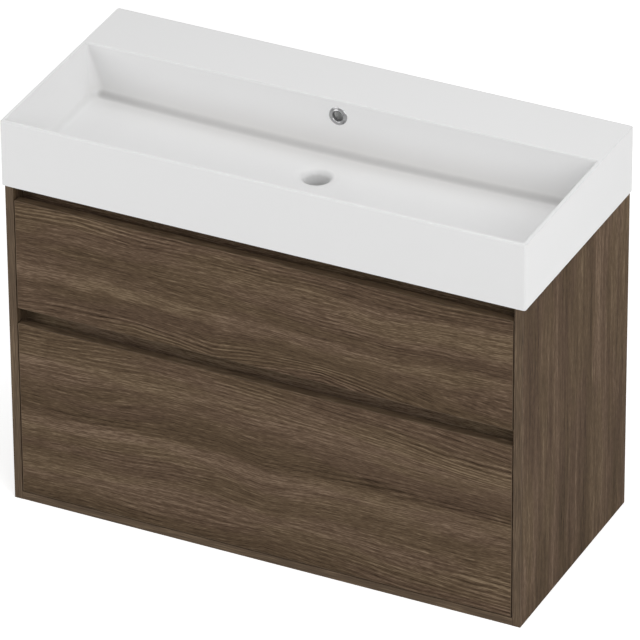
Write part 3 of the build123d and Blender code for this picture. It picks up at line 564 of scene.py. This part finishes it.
def polished_chrome(name, metal):
    """Polished chrome, with the faintest unevenness of hand polishing."""
    graph = new_graph(name)
    place = graph.place()
    buffing = graph.specks(place, 5 * MM)
    colour = graph.mix(buffing, dimmed(metal.chrome, 0.96), metal.chrome)
    return graph.surface(
        Base_Color=colour, Metallic=1.0, Roughness=0.07 + buffing * 0.05,
        Normal=graph.bump(buffing, 0.01 * MM, 0.3))


def moulded_plastic(name, interior):
    """Grey plastic with the fine spark-eroded grain of its mould."""
    graph = new_graph(name)
    place = graph.place()
    grain = graph.specks(place, 0.7 * MM, 2.0, 0.6)
    flow = graph.specks(place, 18 * MM)
    colour = graph.mix(flow, dimmed(interior.plastic, 0.9), interior.plastic)
    return graph.surface(
        Base_Color=colour, Roughness=0.42 + (grain - 0.5) * 0.25, Specular_IOR_Level=0.4,
        Normal=graph.bump(grain, 0.03 * MM, 0.6))


def bare_beech(name, interior):
    """Beech with short dark flecks along the dowel."""
    graph = new_graph(name)
    place = graph.place()
    length, width = 5 * MM, 0.5 * MM
    fleck = graph.noise((place["X"] / length, place["Y"] / width, place["Z"] / width))
    colour = graph.mix(graph.step(fleck, 0.50, 0.66), interior.beech, interior.beech_fleck)
    return graph.surface(
        Base_Color=colour, Roughness=0.6 + (fleck - 0.5) * 0.2, Specular_IOR_Level=0.25,
        Normal=graph.bump(fleck, 0.04 * MM, 0.5))


def dress(material, *nodes):
    """Gives packed nodes their finish."""
    for node in nodes:
        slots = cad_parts[node].material_slots
        if not slots:
            raise RuntimeError(f"{node} has no material slot")
        for slot in slots:
            slot.link = "DATA"
            slot.material = material


def each(pattern):
    """Node names from a pattern that holds {drawer}, {side} or both."""
    names = []
    for drawer in DRAWERS:
        for side in SIDES:
            name = pattern.format(drawer=drawer, side=side)
            if name not in names:
                names.append(name)
    return names


def only(piece):
    """Makes one object the only selected one, and active."""
    bpy.ops.object.select_all(action="DESELECT")
    piece.select_set(True)
    bpy.context.view_layer.objects.active = piece


def turned(name, stations, segments=40, closed=False):
    """A turned piece about +Z from stations of radius and height in millimetres.

    Its ends are capped, unless the last station meets the first again.
    """
    bpy.ops.object.select_all(action="DESELECT")
    radius, height = stations[0]
    bpy.ops.mesh.primitive_circle_add(
        vertices=segments, radius=radius * MM, location=(0, 0, height * MM))
    piece = bpy.context.active_object
    piece.name = name
    bpy.ops.object.transform_apply(location=True, rotation=True, scale=True)
    bpy.ops.object.mode_set(mode="EDIT")
    bpy.ops.mesh.select_all(action="SELECT")
    for next_radius, next_height in stations[1:]:
        rise = (next_height - height) * MM
        bpy.ops.mesh.extrude_edges_move(TRANSFORM_OT_translate={"value": (0, 0, rise)})
        grow = next_radius / radius
        bpy.ops.transform.resize(
            value=(grow, grow, 1), center_override=(0, 0, next_height * MM))
        radius, height = next_radius, next_height
    bpy.ops.mesh.select_all(action="SELECT")
    bpy.ops.mesh.remove_doubles(threshold=0.001 * MM)
    if not closed:
        bpy.ops.mesh.fill_holes(sides=0)
    bpy.ops.mesh.select_all(action="SELECT")
    bpy.ops.mesh.normals_make_consistent(inside=False)
    bpy.ops.object.mode_set(mode="OBJECT")
    return piece


def sink_cross(piece, top, reach, arm, depth):
    """Sinks a tapered cross of that reach, arm width and depth into a piece's top."""
    spare = 0.05
    for scale in ((1.0, arm / reach, 1.0), (arm / reach, 1.0, 1.0)):
        bpy.ops.mesh.primitive_cone_add(
            vertices=4, radius1=0.45 * reach * MM, radius2=0.72 * reach * MM,
            depth=depth * MM, location=(0, 0, (top + spare - depth / 2) * MM),
            rotation=(0, 0, math.pi / 4))
        cutter = bpy.context.active_object
        bpy.ops.object.transform_apply(location=True, rotation=True, scale=False)
        cutter.scale = scale
        bpy.ops.object.transform_apply(location=False, rotation=False, scale=True)
        only(piece)
        recess = piece.modifiers.new("recess", "BOOLEAN")
        recess.object = cutter
        recess.operation = "DIFFERENCE"
        recess.solver = "EXACT"
        bpy.ops.object.modifier_apply(modifier=recess.name)
        bpy.data.objects.remove(cutter)
    only(piece)
    bpy.ops.object.shade_smooth_by_angle(angle=SMOOTH_ANGLE)


def threaded_shank(shank, length):
    """Stations of a pointed screw in millimetres, from its tip to the foot of its head."""
    pitch, root, neck = 1.4, 0.74 * shank, 0.95 * shank
    tip, first_turn, bare = 2.2, 2.6, 4.5
    stations = [(0.12 * shank, -length), (0.55 * shank, tip - length)]
    for turn in range(int((length - bare) / pitch)):
        low = first_turn - length + turn * pitch
        stations += [(root, low), (shank, low + 0.6 * pitch)]
    return stations + [(root, -1.4), (neck, -0.6), (neck, 0.0)]


def copies(master, places):
    """Own copies of a piece at places in metres, its top turned to each place's axis."""
    made = []
    for place, axis in places:
        copy = master.copy()
        copy.data = master.data.copy()
        bpy.context.collection.objects.link(copy)
        copy.location = place
        copy.rotation_euler = Vector(axis).to_track_quat("Z", "Y").to_euler()
        only(copy)
        bpy.ops.object.transform_apply(location=True, rotation=True, scale=True)
        made.append(copy)
    return made


def joined(name, pieces):
    """Several pieces as one object."""
    only(pieces[0])
    for piece in pieces:
        piece.select_set(True)
    if len(pieces) > 1:
        bpy.ops.object.join()
    whole = bpy.context.active_object
    whole.name = name
    return whole


def stand_for(piece, node, body, material):
    """Lets a finished piece stand for a packed node, on that node's body."""
    piece.data.materials.clear()
    piece.data.materials.append(material)
    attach(piece, body)
    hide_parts(node)


def mirrored_places(places):
    """Places and axes of the right side, followed by those of the left side."""
    left = [((-x, y, z), (-a, b, c)) for (x, y, z), (a, b, c) in places]
    return places + left


class FinishOperator:
    """What the operators share: the scene's own values, and a plain run."""

    bl_options = {"REGISTER", "UNDO"}

    def execute(self, context):
        self.make(context.scene)
        return {"FINISHED"}


class VANITY_OT_decor_boards(FinishOperator, bpy.types.Operator):
    """Give the side panels, fronts, rails and bottom their wood decor"""

    bl_idname = "vanity.decor_boards"
    bl_label = "Decor Boards"

    def make(self, scene):
        wood = scene.vanity_wood

        # Broad bands: share of the width, tone, strength of the growth lines
        upper_first = (
            (0.00, 0.44, 0.9), (0.10, 0.48, 1.0), (0.16, 0.44, 0.3), (0.27, 0.44, 0.2),
            (0.31, 0.60, 0.2), (0.39, 0.64, 0.2), (0.45, 0.48, 0.3), (0.65, 0.44, 0.4),
            (0.78, 0.52, 0.3), (0.86, 0.48, 0.9), (0.95, 0.54, 0.9), (1.00, 0.48, 0.9))
        upper_last = (
            (0.00, 0.36, 0.9), (0.10, 0.42, 1.0), (0.20, 0.40, 0.2), (0.31, 0.50, 0.2),
            (0.40, 0.58, 0.2), (0.46, 0.42, 0.3), (0.55, 0.44, 0.6), (0.63, 0.58, 0.8),
            (0.81, 0.61, 0.5), (0.86, 0.40, 0.5), (0.92, 0.44, 0.8), (1.00, 0.36, 0.9))
        lower_first = (
            (0.00, 0.40, 0.5), (0.10, 0.54, 0.6), (0.19, 0.62, 0.3), (0.29, 0.48, 0.5),
            (0.38, 0.52, 0.7), (0.46, 0.66, 0.3), (0.50, 0.58, 0.3), (0.54, 0.38, 0.7),
            (0.62, 0.42, 0.2), (0.74, 0.52, 0.2), (0.82, 0.61, 0.4), (1.00, 0.46, 0.7))
        lower_last = (
            (0.00, 0.42, 0.9), (0.10, 0.50, 1.0), (0.20, 0.57, 0.9), (0.30, 0.48, 0.4),
            (0.44, 0.60, 0.3), (0.49, 0.57, 0.3), (0.53, 0.32, 0.9), (0.60, 0.42, 0.4),
            (0.72, 0.54, 0.2), (0.82, 0.62, 0.8), (0.92, 0.50, 1.0), (1.00, 0.46, 0.9))
        side_first = (
            (0.02, 0.46, 0.1), (0.07, 0.54, 0.1), (0.14, 0.46, 0.1), (0.24, 0.42, 0.2),
            (0.31, 0.52, 0.1), (0.40, 0.36, 0.2), (0.49, 0.48, 0.1), (0.60, 0.34, 0.2),
            (0.69, 0.54, 0.1), (0.80, 0.50, 0.1), (0.90, 0.38, 0.2), (0.98, 0.50, 0.1))
        side_last = (
            (0.02, 0.44, 0.1), (0.11, 0.34, 0.2), (0.19, 0.52, 0.1), (0.27, 0.44, 0.1),
            (0.32, 0.50, 0.1), (0.40, 0.36, 0.2), (0.53, 0.56, 0.1), (0.64, 0.36, 0.2),
            (0.71, 0.60, 0.1), (0.80, 0.50, 0.1), (0.86, 0.54, 0.1), (0.98, 0.52, 0.1))

        # Drift: share of the length, and millimetres at the low edge, the middle, the high edge
        upper_drift = (
            (0.00, -8, 0, -4), (0.12, 6, 2, 6), (0.24, 12, 4, -2), (0.40, -4, 0, 2),
            (0.52, 12, -3, 0), (0.62, 18, -8, 2), (0.75, -6, -12, 0), (0.86, -24, -4, 4),
            (0.93, -28, -2, 8), (1.00, -31, 0, 12))
        lower_drift = (
            (0.00, 0, -8, -12), (0.14, 4, -6, -4), (0.22, 2, 0, 0), (0.31, 0, 9, 2),
            (0.41, 4, 9, 4), (0.50, 12, -3, 4), (0.60, 2, 5, 0), (0.76, -6, 7, -10),
            (0.90, -12, 8, -24), (1.00, -16, 9, -32))
        fronts = {
            "upper_front": (upper_first, upper_last, upper_drift),
            "lower_front": (lower_first, lower_last, lower_drift),
        }
        # The middle front rail shows only in the shaded groove between the drawers; its lighter
        # tone there is painted light
        plain = {"top_front_rail": 0.52, "middle_front_rail": 0.66, "top_back_rail": 0.50,
                 "bottom_back_rail": 0.50, "bottom_panel": 0.50}
        layer = 0.0
        for node, values in fronts.items():
            dress(wood_decor(f"decor_{node}", Board(node, "X", "Z", layer, *values), wood), node)
            layer += LAYERS_PER_BOARD
        for side in SIDES:
            node = f"{side}_side_panel"
            board = Board(node, "Z", "Y", layer, side_first, side_last,
                          bold=1.1, streaky=2.4, fine=0.8)
            dress(wood_decor(f"decor_{node}", board, wood, bare_axis="Y"), node)
            layer += LAYERS_PER_BOARD
        for node, tone in plain.items():
            across = "Y" if node == "bottom_panel" else "Z"
            board = Board(node, "X", across, layer, ((0.0, tone, 0.35),))
            dress(wood_decor(f"decor_{node}", board, wood), node)
            layer += LAYERS_PER_BOARD


class VANITY_OT_edge_bands(FinishOperator, bpy.types.Operator):
    """Give the edge bands of the carcass and the drawer fronts their streaked decor"""

    bl_idname = "vanity.edge_bands"
    bl_label = "Edge Bands"

    def make(self, scene):
        wood = scene.vanity_wood
        for layer, side in enumerate(SIDES):
            node = f"{side}_side_edge_band"
            dress(edge_band(f"band_{side}_side", "Z", "X", 7.0 * layer, wood), node)
        dress(edge_band("band_bottom", "X", "Z", 19.0, wood), "bottom_edge_band")
        for layer, drawer in enumerate(DRAWERS):
            node = f"{drawer}_front_edge_bands"
            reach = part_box(node)[1].x - 1.0 * MM
            band = edge_band(f"band_{drawer}_front", "X", "Z", 31.0 + 9 * layer, wood, reach)
            dress(band, node)


class VANITY_OT_washbasin(FinishOperator, bpy.types.Operator):
    """Glaze the washbasin"""

    bl_idname = "vanity.washbasin"
    bl_label = "Washbasin"

    def make(self, scene):
        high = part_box("washbasin")[1]
        dress(glazed_ceramic("glazed_ceramic", scene.vanity_ceramic, high), "washbasin")


class VANITY_OT_drawer_boxes(FinishOperator, bpy.types.Operator):
    """Give the drawer boxes their linen-textured board"""

    bl_idname = "vanity.drawer_boxes"
    bl_label = "Drawer Boxes"

    def make(self, scene):
        board = linen_board("linen_board", scene.vanity_interior)
        nodes = ["upper_left_drawer_back", "upper_right_drawer_back", "lower_drawer_back"]
        for pattern in ("{drawer}_inner_front", "{drawer}_drawer_bottom",
                        "{drawer}_{side}_drawer_side"):
            nodes += each(pattern)
        dress(board, *nodes)


class VANITY_OT_runners(FinishOperator, bpy.types.Operator):
    """Give the drawer runners, hooks and wall plates their plated steel"""

    bl_idname = "vanity.runners"
    bl_label = "Runners and Wall Plates"

    def make(self, scene):
        steel = rolled_steel("rolled_steel", scene.vanity_metal)
        for member in ("drawer", "cabinet", "intermediate"):
            dress(steel, *each("{drawer}_{side}_" + member + "_member"))
        dress(steel, *each("{side}_hanger_hook"), *each("{side}_wall_plate"))


class VANITY_OT_plastic_parts(FinishOperator, bpy.types.Operator):
    """Give the catches, hanger housings, caps and trap liner their moulded plastic"""

    bl_idname = "vanity.plastic_parts"
    bl_label = "Plastic Parts"

    def make(self, scene):
        plastic = moulded_plastic("moulded_plastic", scene.vanity_interior)
        dress(plastic, "siphon_recess_liner", "hanger_cover_caps", *each("{side}_hanger_housing"),
              *each("{drawer}_{side}_catch_lever"), *each("{drawer}_catch_housings"))


class VANITY_OT_dowels(FinishOperator, bpy.types.Operator):
    """Give the dowels their bare beech"""

    bl_idname = "vanity.dowels"
    bl_label = "Dowels"

    def make(self, scene):
        dress(bare_beech("bare_beech", scene.vanity_interior), "wooden_dowels")


class VANITY_OT_screws(FinishOperator, bpy.types.Operator):
    """Turn the cross-head screws of the runners and the drawer fronts"""

    bl_idname = "vanity.screws"
    bl_label = "Screws"

    def make(self, scene):
        fittings = scene.vanity_fittings
        zinc = cast_zinc("plated_screws", scene.vanity_metal)
        radius, head = fittings.head_radius / MM, fittings.head_height / MM
        rounding = [
            (radius, 0.0), (radius, 0.22 * head), (0.96 * radius, 0.50 * head),
            (0.82 * radius, 0.78 * head), (0.55 * radius, 0.96 * head), (0.12 * radius, head)]
        # Body, then the shank's radius and length in millimetres
        groups = {
            "runner_screws": ("cabinet", 2.5, 11.5),
            "upper_front_screws": ("upper_drawer", 2.0, 22.0),
            "lower_front_screws": ("lower_drawer", 2.0, 22.0),
        }
        for node, (body, shank, length) in groups.items():
            master = turned(f"{node}_master", threaded_shank(shank, length) + rounding)
            sink_cross(master, head, 1.15 * radius, 0.22 * radius, 0.72 * head)
            screws = copies(master, self.places(node, fittings))
            bpy.data.objects.remove(master)
            whole = joined(f"cross_head_{node}", screws)
            stand_for(whole, node, body, zinc)

    def places(self, node, fittings):
        """Where the heads of a group of screws lie, and the way that they face."""
        places = []
        if node == "runner_screws":
            for drawer in DRAWERS:
                low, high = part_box(f"{drawer}_right_cabinet_member")
                for share in (0.09, 0.45, 0.91):
                    y = low.y + (high.y - low.y) * share
                    z = high.z - fittings.screw_below_web
                    places.append(((high.x - fittings.sheet, y, z), (-1, 0, 0)))
            return mirrored_places(places)
        low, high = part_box(node.replace("front_screws", "inner_front"))
        for share in (0.25, 0.75):
            z = low.z + (high.z - low.z) * share
            places.append(((high.x - fittings.screw_from_end, high.y, z), (0, 1, 0)))
        return mirrored_places(places)


class VANITY_OT_cams(FinishOperator, bpy.types.Operator):
    """Turn the cams and bolts that join the boards"""

    bl_idname = "vanity.cams"
    bl_label = "Cams and Bolts"

    def make(self, scene):
        fittings = scene.vanity_fittings
        zinc = cast_zinc("cast_cams", scene.vanity_metal)
        cam = turned("cam_master", [
            (7.2, -12.5), (7.5, -12.1), (7.5, -8.6), (6.2, -8.2), (6.2, -4.4), (7.5, -4.0),
            (7.5, -0.4), (7.2, 0.0), (6.3, 0.0), (6.0, -0.35), (4.9, -0.35), (4.6, 0.0),
            (0.6, 0.0)])
        sink_cross(cam, 0.0, 6.4, 1.5, 3.0)
        bolt = turned("bolt_master", [
            (2.2, 0.0), (2.7, 0.5), (3.0, 1.6), (2.5, 2.4), (3.0, 3.2), (2.5, 4.0), (3.0, 4.8),
            (2.5, 5.6), (3.0, 6.4), (2.5, 7.2), (2.5, 9.4), (3.0, 9.9), (3.0, 11.2), (2.1, 12.0),
            (2.1, 30.4), (2.9, 31.6), (2.9, 33.8), (1.7, 34.7), (1.7, 35.6), (2.4, 36.3)])
        faces, bolts = [], []
        insets = {"top_front_rail": 17 * MM, "middle_front_rail": 17 * MM,
                  "top_back_rail": 10 * MM, "bottom_back_rail": 17 * MM}
        for node, inset in insets.items():
            low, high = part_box(node)
            x, z = high.x - fittings.cam_from_end, high.z - inset
            faces.append(((x, high.y, z), (0, 1, 0)))
            bolts.append(((high.x + fittings.bolt_bite, (low.y + high.y) / 2, z), (-1, 0, 0)))
        low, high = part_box("bottom_panel")
        for share in (0.2, 0.74):
            x, y = high.x - fittings.cam_from_end, low.y + (high.y - low.y) * share
            faces.append(((x, y, high.z), (0, 0, 1)))
            bolts.append(((high.x + fittings.bolt_bite, y, (low.z + high.z) / 2), (-1, 0, 0)))
        pieces = copies(cam, mirrored_places(faces)) + copies(bolt, mirrored_places(bolts))
        bpy.data.objects.remove(cam)
        bpy.data.objects.remove(bolt)
        stand_for(joined("cams_and_bolts", pieces), "cam_fittings", "cabinet", zinc)


class VANITY_OT_overflow_ring(FinishOperator, bpy.types.Operator):
    """Turn the overflow ring in polished chrome"""

    bl_idname = "vanity.overflow_ring"
    bl_label = "Overflow Ring"

    def make(self, scene):
        fittings = scene.vanity_fittings
        outer, proud = fittings.ring_radius / MM, fittings.ring_proud / MM
        bore = fittings.ring_bore / MM
        ring = turned("ring_master", [
            (bore, -6.0), (bore, 0.5), (bore + 0.2, 1.4), (bore + 0.8, 0.9 * proud),
            (bore + 1.6, proud), (bore + 2.5, 0.92 * proud), (bore + 3.0, 0.72 * proud),
            (bore + 3.4, 0.66 * proud), (outer - 2.2, 0.68 * proud), (outer - 1.1, 0.58 * proud),
            (outer - 0.3, 0.34 * proud), (outer, 0.0), (outer - 0.4, -0.0), (bore + 1.7, -0.0),
            (bore + 1.7, -6.0), (bore, -6.0)], 96, closed=True)
        only(ring)
        bpy.ops.object.shade_smooth_by_angle(angle=SMOOTH_ANGLE)
        low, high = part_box("overflow_ring")
        lean = math.atan2(fittings.ring_lean, scene.vanity_ceramic.bowl_floor)
        seat = low.y + fittings.ring_proud + 0.9 * fittings.ring_radius * math.sin(lean)
        place = (0, seat, (low.z + high.z) / 2)
        axis = (0, -math.cos(lean), math.sin(lean))
        whole = joined("turned_overflow_ring", copies(ring, [(place, axis)]))
        bpy.data.objects.remove(ring)
        chrome = polished_chrome("polished_chrome", scene.vanity_metal)
        stand_for(whole, "overflow_ring", "cabinet", chrome)


def soft_world(stage):
    """Even light from all round; camera, glossy and transmitted rays see plain white."""
    world = bpy.data.worlds.new("soft_studio")
    bpy.context.scene.world = world
    graph = Graph(world)
    seen = graph.add("ShaderNodeMath", {"operation": "MINIMUM"}, {0: graph.seen(), 1: 1.0})
    strength = stage.ambient + (1.0 - stage.ambient) * seen
    light = graph.add("ShaderNodeBackground", None, {
        "Color": colour_of(1.0), "Strength": strength})
    graph.add("ShaderNodeOutputWorld", None, {"Surface": light})


def pale_floor(name, stage):
    """A white floor that still takes a shadow, and lets a view from below through."""
    graph = new_graph(name)
    back = graph.add("ShaderNodeNewGeometry").at("Backfacing")
    paint = graph.add("ShaderNodeBsdfDiffuse", None, {"Color": colour_of(stage.floor_paint)})
    glow = graph.add("ShaderNodeEmission", None, {
        "Color": colour_of(1.0), "Strength": stage.floor_glow * graph.seen()})
    lit = graph.add("ShaderNodeAddShader", None, {0: paint, 1: glow})
    clear = graph.add("ShaderNodeBsdfTransparent")
    shader = graph.add("ShaderNodeMixShader", None, {0: back, 1: lit, 2: clear})
    graph.add("ShaderNodeOutputMaterial", None, {"Surface": shader})
    return graph.owner


class VANITY_OT_stage(FinishOperator, bpy.types.Operator):
    """Set the floor, the soft light and the camera"""

    bl_idname = "vanity.stage"
    bl_label = "Stage"

    def make(self, scene):
        stage = scene.vanity_stage
        soft_world(stage)
        bpy.ops.object.select_all(action="DESELECT")
        bpy.ops.mesh.primitive_plane_add(size=stage.floor_size, location=(0, 0, -stage.floor_gap))
        floor = bpy.context.active_object
        floor.name = "floor"
        floor.data.materials.append(pale_floor("pale_floor", stage))
        aim = Vector((0.0, 0.0, 0.45))
        # Place, side length and power of each lamp
        boxes = {
            "right_softbox": ((3.5, -3.0, 3.0), 3.0, 90.0),
            "left_softbox": ((-3.0, -3.6, 2.6), 3.0, 73.0),
            "top_softbox": ((0.5, 0.0, 4.0), 3.0, 45.0),
            "side_softbox": ((4.5, 0.2, 2.2), 3.0, 43.0),
            "low_softbox": ((-1.9, -2.2, 1.3), 1.4, 2.6),
        }
        for name, (place, size, power) in boxes.items():
            bpy.ops.object.light_add(type="AREA", location=place)
            lamp = bpy.context.active_object
            lamp.name = name
            lamp.data.size = size
            lamp.data.energy = power
            lamp.rotation_euler = (aim - Vector(place)).to_track_quat("-Z", "Y").to_euler()
        bpy.ops.object.camera_add()
        camera = bpy.context.active_object
        camera.name = "camera"
        camera.data.lens = stage.lens
        camera.data.clip_end = 100.0
        camera.matrix_world = (
            Matrix.Translation(stage.place) @ Matrix.Rotation(stage.azimuth, 4, "Z")
            @ Matrix.Rotation(math.pi / 2 - stage.elevation, 4, "X")
            @ Matrix.Rotation(stage.roll, 4, "Z"))
        scene.camera = camera
        scene.view_settings.view_transform = "Standard"


OPERATORS = (
    VANITY_OT_decor_boards, VANITY_OT_edge_bands, VANITY_OT_washbasin, VANITY_OT_overflow_ring,
    VANITY_OT_drawer_boxes, VANITY_OT_runners, VANITY_OT_plastic_parts, VANITY_OT_dowels,
    VANITY_OT_screws, VANITY_OT_cams, VANITY_OT_stage)
GROUPS = {
    "vanity_wood": VanityWood, "vanity_ceramic": VanityCeramic, "vanity_metal": VanityMetal,
    "vanity_interior": VanityInterior, "vanity_fittings": VanityFittings,
    "vanity_stage": VanityStage}


class VANITY_PT_panel(bpy.types.Panel):
    """Sidebar panel with the unit's pieces in the order they are made"""

    bl_idname = "VANITY_PT_panel"
    bl_label = "Vanity Unit"
    bl_space_type = "VIEW_3D"
    bl_region_type = "UI"
    bl_category = "Vanity"

    def draw(self, context):
        for name, group in GROUPS.items():
            box = self.layout.box()
            box.label(text=group.__doc__)
            for key in group.__annotations__:
                box.prop(getattr(context.scene, name), key)
        for operator in OPERATORS:
            self.layout.operator(operator.bl_idname)


def register():
    """Makes the panel, the operators and the scene's values known to Blender."""
    for kind in (*GROUPS.values(), *OPERATORS, VANITY_PT_panel):
        bpy.utils.register_class(kind)
    for name, group in GROUPS.items():
        setattr(bpy.types.Scene, name, PointerProperty(type=group))


def unregister():
    """Takes them away again."""
    for name in GROUPS:
        delattr(bpy.types.Scene, name)
    for kind in (VANITY_PT_panel, *reversed(OPERATORS), *GROUPS.values()):
        bpy.utils.unregister_class(kind)


def main():
    register()
    for operator in OPERATORS:
        group, name = operator.bl_idname.split(".")
        getattr(getattr(bpy.ops, group), name)()


if __name__ == "__main__":
    main()
